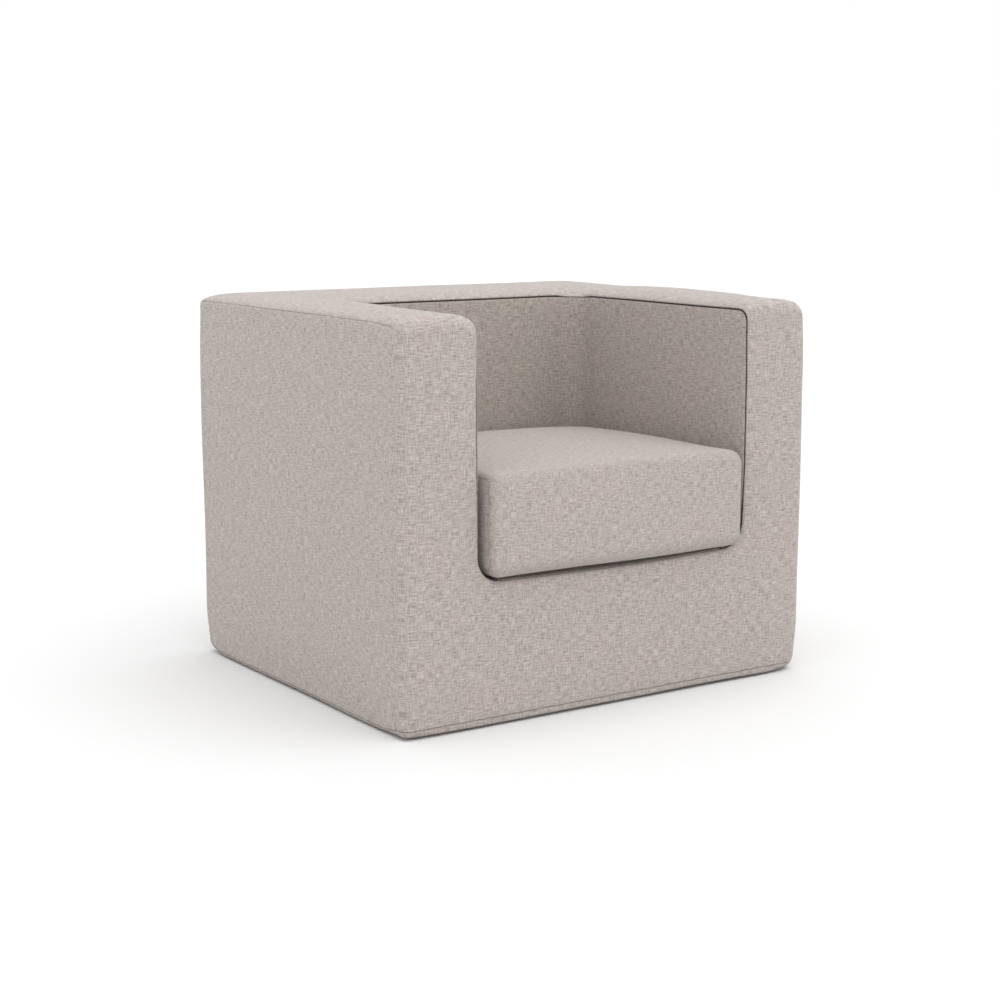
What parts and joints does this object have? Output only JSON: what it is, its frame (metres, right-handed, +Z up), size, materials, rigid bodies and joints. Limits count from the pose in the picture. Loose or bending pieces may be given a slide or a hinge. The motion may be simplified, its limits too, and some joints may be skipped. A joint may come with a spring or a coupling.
{
  "type": "upholstered armchair",
  "caption": "Small box-shaped armchair in woven fabric, with arms as high as its back, a timber box frame, foam padding and a loose zipped seat cushion.",
  "frame": {"origin": "on the floor, midway along the overall width and the overall depth, cushion included", "axes": "+Z up; the front, where the sitter's legs go, faces -Y; +X is to the right as seen from the front, so 'left' names are on the -X side"},
  "size_m": [0.508, 0.458, 0.41],
  "materials": {
    "cover_fabric": "matte",
    "cushion_fabric": "matte",
    "lining_fabric": "matte",
    "base_cloth": "matte",
    "foam": "matte",
    "wadding": "matte",
    "plywood": "matte",
    "timber": "matte",
    "webbing": "matte",
    "screw_steel": "satin",
    "glide_plastic": "satin",
    "zip_tape": "matte",
    "zip_coil": "satin",
    "zip_metal": "satin"
  },
  "bodies": {
    "chair": {"side_cover_left": "cover_fabric", "side_cover_right": "cover_fabric", "rear_cover": "cover_fabric", "inner_lining": "lining_fabric", "deck_cloth": "lining_fabric", "front_and_top_cover": "cover_fabric", "bottom_cover": "base_cloth", "deck_foam_pad": "foam", "back_top_foam": "foam", "back_inner_foam": "foam", "rail_front_foam": "foam", "rear_wadding": "wadding", "back_inner_panel": "plywood", "back_outer_panel": "plywood", "base_board": "plywood", "back_top_rail": "timber", "seat_cleat_rear": "timber", "front_board": "timber", "corner_blocks": "timber", "straps_front_to_back": "webbing", "straps_side_to_side": "webbing", "glides": "glide_plastic", "glide_screws": "screw_steel", "frame_screws": "screw_steel", "arm_top_foam_left": "foam", "arm_front_foam_left": "foam", "arm_inner_foam_left": "foam", "side_wadding_left": "wadding", "arm_outer_panel_left": "plywood", "arm_inner_panel_left": "plywood", "arm_top_rail_left": "timber", "seat_cleat_left": "timber", "front_post_left": "timber", "rear_post_left": "timber", "arm_top_foam_right": "foam", "arm_front_foam_right": "foam", "arm_inner_foam_right": "foam", "side_wadding_right": "wadding", "arm_outer_panel_right": "plywood", "arm_inner_panel_right": "plywood", "arm_top_rail_right": "timber", "seat_cleat_right": "timber", "front_post_right": "timber", "rear_post_right": "timber"},
    "seat_cushion": {"cushion_foam": "foam", "cushion_wrap": "cushion_fabric", "cushion_end_left": "cushion_fabric", "cushion_end_right": "cushion_fabric", "zip_tape_upper": "zip_tape", "zip_tape_lower": "zip_tape", "zip_coil_upper": "zip_coil", "zip_coil_lower": "zip_coil", "zip_stops": "zip_metal"},
    "zip_slider_body": {"zip_slider": "zip_metal"},
    "zip_pull_body": {"zip_pull": "zip_metal"}
  },
  "joints": [
    {"name": "cushion_lift_out", "type": "slide", "parent": "chair", "child": "seat_cushion", "axis": [0, 0, 1], "range_m": [0, 0.27]},
    {"name": "zip_slide", "type": "slide", "parent": "seat_cushion", "child": "zip_slider_body", "axis": [1, 0, 0], "range_m": [-0.236, 0]},
    {"name": "zip_pull_swing", "type": "hinge", "parent": "zip_slider_body", "child": "zip_pull_body", "pos_m": [0.115, 0.0864, 0.202], "axis": [0, 1, 0], "range_deg": [-38, 90]}
  ]
}
